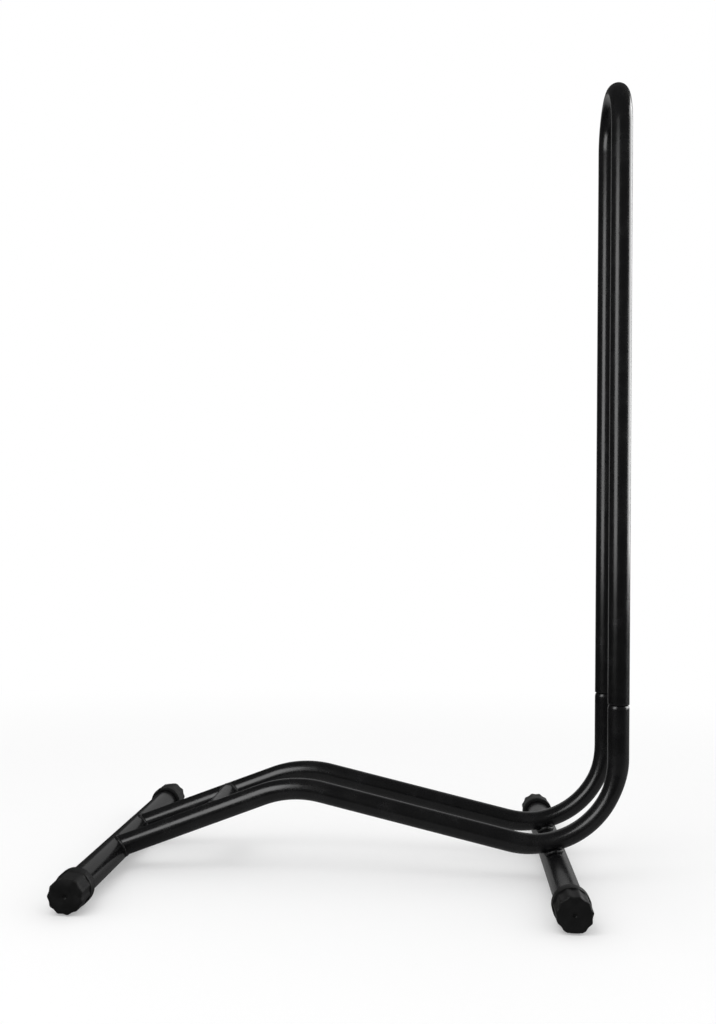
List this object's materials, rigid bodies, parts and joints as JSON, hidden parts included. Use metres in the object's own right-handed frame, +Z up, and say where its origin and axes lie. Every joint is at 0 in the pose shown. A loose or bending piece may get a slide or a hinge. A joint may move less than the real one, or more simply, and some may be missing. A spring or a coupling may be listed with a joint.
{
  "type": "bike parking stand",
  "caption": "Floor stand for a bicycle wheel: bent round rails on cross legs form a ramp and a cradle, and a tall hoop that lifts off the rails' spigots holds the wheel upright.",
  "frame": {"origin": "on the floor, under the middle of the stand's bounding box", "axes": "+X along the wheel slot from the foot of the ramp to the hoop, +Y across it from the near rail to the far one, +Z up"},
  "size_m": [0.5011, 0.3746, 0.772],
  "materials": {
    "rail_coat": "satin powder coat",
    "hoop_coat": "satin powder coat",
    "leg_coat": "satin powder coat",
    "weld_coat": "powder-coated weld",
    "cap_plastic": "matt moulded plastic"
  },
  "bodies": {
    "frame": {"near_rail": "rail_coat", "far_rail": "rail_coat", "front_leg": "leg_coat", "rear_leg": "leg_coat", "ramp_crossbar": "rail_coat", "front_near_cap": "cap_plastic", "front_far_cap": "cap_plastic", "rear_near_cap": "cap_plastic", "rear_far_cap": "cap_plastic", "front_near_weld": "weld_coat", "front_far_weld": "weld_coat", "rear_near_weld": "weld_coat", "rear_far_weld": "weld_coat", "crossbar_near_weld": "weld_coat", "crossbar_far_weld": "weld_coat"},
    "hoop": {"hoop": "hoop_coat"}
  },
  "joints": [
    {"name": "hoop_lift", "type": "slide", "parent": "frame", "child": "hoop", "axis": [0, 0, 1], "range_m": [0, 0.055]}
  ]
}
